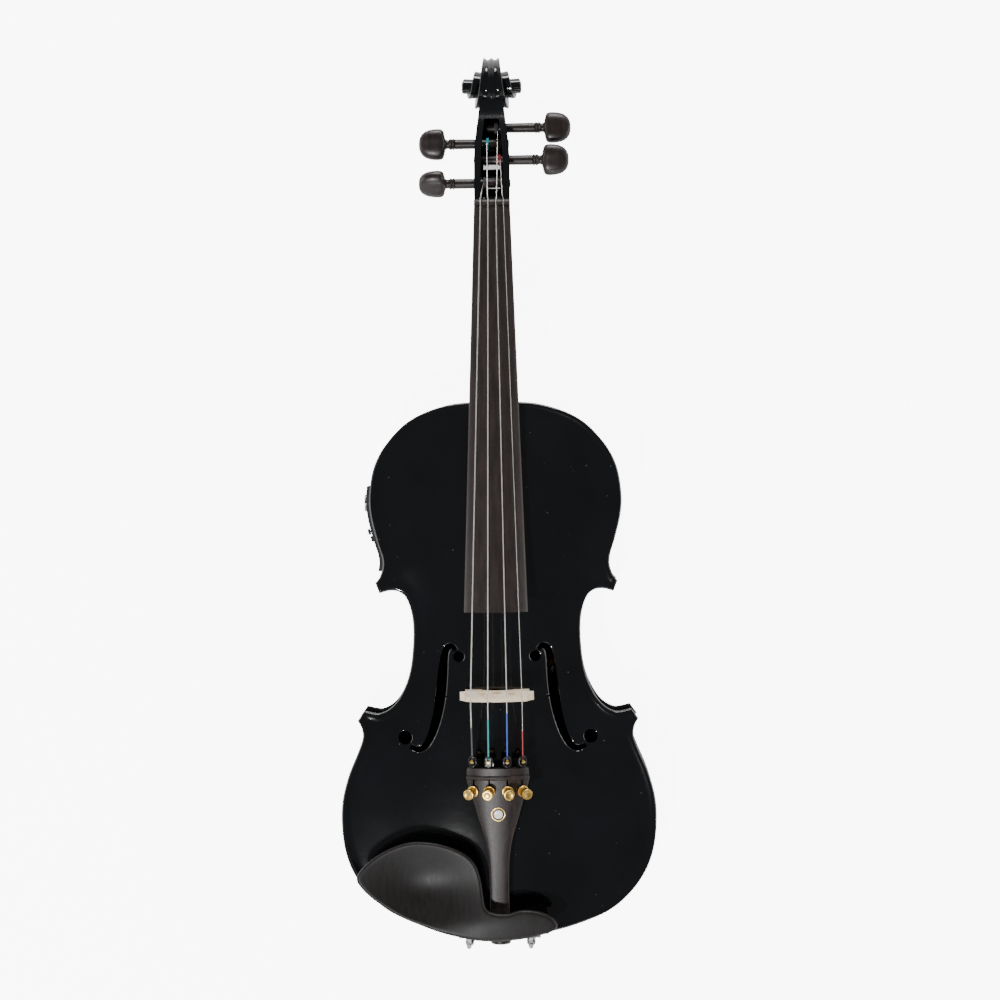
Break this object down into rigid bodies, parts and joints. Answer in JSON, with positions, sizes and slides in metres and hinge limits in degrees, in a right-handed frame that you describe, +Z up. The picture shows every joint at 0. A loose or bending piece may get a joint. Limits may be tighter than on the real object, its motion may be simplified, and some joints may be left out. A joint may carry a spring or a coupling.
{
  "type": "electro-acoustic violin",
  "caption": "Full-size electro-acoustic violin in black lacquer with dark fittings, fine tuners, chinrest and a preamp panel on the left rib.",
  "frame": {"origin": "on the surface that the violin lies on, back down, at the centre of its footprint", "axes": "+Y toward the scroll, +Z up out of the top plate, +X toward the treble side"},
  "size_m": [0.2102, 0.6, 0.0965],
  "materials": {
    "black_lacquer": "black high-gloss lacquer over wood",
    "spruce": "bare spruce",
    "bridge_maple": "bare fine-grained maple, satin",
    "dark_wood": "dark brown hardwood, satin",
    "peg_wood": "dark brown hardwood, polished",
    "brass": "gold-coloured plated metal",
    "steel": "nickel plate",
    "black_metal": "black satin coating",
    "black_plastic": "black satin plastic",
    "wound_string": "silver-white wound string"
  },
  "bodies": {
    "violin": {"back_plate": "black_lacquer", "bass_bar": "spruce", "bridge": "bridge_maple", "chinrest": "peg_wood", "chinrest_bracket": "steel", "corner_block_lower_left": "spruce", "corner_block_lower_right": "spruce", "corner_block_upper_left": "spruce", "corner_block_upper_right": "spruce", "end_button": "peg_wood", "fingerboard": "dark_wood", "neck": "black_lacquer", "neck_block": "spruce", "nut": "dark_wood", "output_jack": "steel", "pickup": "brass", "preamp_housing": "black_plastic", "rib_lower_left": "black_lacquer", "rib_lower_right": "black_lacquer", "rib_upper_left": "black_lacquer", "rib_upper_right": "black_lacquer", "rib_waist_left": "black_lacquer", "rib_waist_right": "black_lacquer", "saddle": "dark_wood", "sound_post": "spruce", "string_a": "wound_string", "string_d": "wound_string", "string_e": "wound_string", "string_g": "wound_string", "tail_block": "spruce", "tail_cord": "black_plastic", "tailpiece": "dark_wood", "tailpiece_fret": "dark_wood", "top_plate": "black_lacquer", "tuner_frame_a": "black_metal", "tuner_frame_d": "black_metal", "tuner_frame_e": "black_metal", "tuner_frame_g": "black_metal", "tuner_nut_a": "brass", "tuner_nut_d": "brass", "tuner_nut_e": "brass", "tuner_nut_g": "brass"},
    "peg_g": {"peg_g": "peg_wood"},
    "peg_d": {"peg_d": "peg_wood"},
    "peg_a": {"peg_a": "peg_wood"},
    "peg_e": {"peg_e": "peg_wood"},
    "tuner_screw_g": {"tuner_screw_g": "brass"},
    "tuner_lever_g": {"tuner_lever_g": "black_metal"},
    "tuner_screw_d": {"tuner_screw_d": "brass"},
    "tuner_lever_d": {"tuner_lever_d": "black_metal"},
    "tuner_screw_a": {"tuner_screw_a": "brass"},
    "tuner_lever_a": {"tuner_lever_a": "black_metal"},
    "tuner_screw_e": {"tuner_screw_e": "brass"},
    "tuner_lever_e": {"tuner_lever_e": "black_metal"},
    "volume_slider": {"volume_slider": "black_plastic"},
    "tone_slider": {"tone_slider": "black_plastic"},
    "chinrest_barrel_left": {"chinrest_barrel_left": "steel"},
    "chinrest_barrel_right": {"chinrest_barrel_right": "steel"},
    "chinrest_foot": {"chinrest_foot": "steel"}
  },
  "joints": [
    {"name": "peg_g_turn", "type": "hinge", "parent": "violin", "child": "peg_g", "pos_m": [0, 0.21115, 0.04214], "axis": [1, 0, 0], "continuous": true},
    {"name": "peg_d_turn", "type": "hinge", "parent": "violin", "child": "peg_d", "pos_m": [0, 0.23907, 0.03136], "axis": [1, 0, 0], "continuous": true},
    {"name": "peg_a_turn", "type": "hinge", "parent": "violin", "child": "peg_a", "pos_m": [0, 0.25023, 0.02694], "axis": [1, 0, 0], "continuous": true},
    {"name": "peg_e_turn", "type": "hinge", "parent": "violin", "child": "peg_e", "pos_m": [0, 0.22739, 0.03581], "axis": [1, 0, 0], "continuous": true},
    {"name": "tuner_screw_g_travel", "type": "slide", "parent": "violin", "child": "tuner_screw_g", "axis": [-0.381, -0.2039, 0.9018], "range_m": [-0.0025, 0.0013]},
    {"name": "tuner_lever_g_tilt", "type": "hinge", "parent": "violin", "child": "tuner_lever_g", "pos_m": [-0.0144, -0.17284, 0.07496], "axis": [0.9246, -0.084, 0.3716], "range_deg": [-4.15, 7.79]},
    {"name": "tuner_screw_d_travel", "type": "slide", "parent": "violin", "child": "tuner_screw_d", "axis": [-0.1357, -0.2184, 0.9664], "range_m": [-0.0025, 0.0013]},
    {"name": "tuner_lever_d_tilt", "type": "hinge", "parent": "violin", "child": "tuner_lever_d", "pos_m": [-0.00513, -0.17288, 0.07746], "axis": [0.9907, -0.0299, 0.1324], "range_deg": [-4.15, 7.79]},
    {"name": "tuner_screw_a_travel", "type": "slide", "parent": "violin", "child": "tuner_screw_a", "axis": [0.1476, -0.2181, 0.9647], "range_m": [-0.0025, 0.0013]},
    {"name": "tuner_lever_a_tilt", "type": "hinge", "parent": "violin", "child": "tuner_lever_a", "pos_m": [0.00558, -0.17288, 0.0774], "axis": [0.989, 0.0325, -0.144], "range_deg": [-4.15, 7.79]},
    {"name": "tuner_screw_e_travel", "type": "slide", "parent": "violin", "child": "tuner_screw_e", "axis": [0.381, -0.2039, 0.9018], "range_m": [-0.0025, 0.0013]},
    {"name": "tuner_lever_e_tilt", "type": "hinge", "parent": "violin", "child": "tuner_lever_e", "pos_m": [0.0144, -0.17284, 0.07496], "axis": [0.9246, 0.084, -0.3716], "range_deg": [-4.15, 7.79]},
    {"name": "volume_slider_travel", "type": "slide", "parent": "violin", "child": "volume_slider", "axis": [-0.2693, 0.9624, 0.0352], "range_m": [-0.011, 0.005]},
    {"name": "tone_slider_travel", "type": "slide", "parent": "violin", "child": "tone_slider", "axis": [-0.2693, 0.9624, 0.0352], "range_m": [-0.0058, 0.0102]},
    {"name": "clamp_foot_travel", "type": "slide", "parent": "violin", "child": "chinrest_foot", "axis": [0, -0.0366, 0.9993], "range_m": [-0.0035, 0]},
    {"name": "clamp_barrel_left_turn", "type": "hinge", "parent": "violin", "child": "chinrest_barrel_left", "pos_m": [-0.0205, -0.29422, 0.01025], "axis": [0, -0.0366, 0.9993], "range_deg": [-5, 905]},
    {"name": "clamp_barrel_right_turn", "type": "hinge", "parent": "violin", "child": "chinrest_barrel_right", "pos_m": [0.0205, -0.29422, 0.01025], "axis": [0, -0.0366, 0.9993], "range_deg": [-5, 905]}
  ],
  "couplings": [
    {"joint": "tuner_lever_g_tilt", "follows": "tuner_screw_g_travel", "rad_per_m": -52.976},
    {"joint": "tuner_lever_d_tilt", "follows": "tuner_screw_d_travel", "rad_per_m": -52.976},
    {"joint": "tuner_lever_a_tilt", "follows": "tuner_screw_a_travel", "rad_per_m": -52.976},
    {"joint": "tuner_lever_e_tilt", "follows": "tuner_screw_e_travel", "rad_per_m": -52.976},
    {"joint": "clamp_barrel_left_turn", "follows": "clamp_foot_travel", "rad_per_m": -4488},
    {"joint": "clamp_barrel_right_turn", "follows": "clamp_foot_travel", "rad_per_m": -4488}
  ]
}
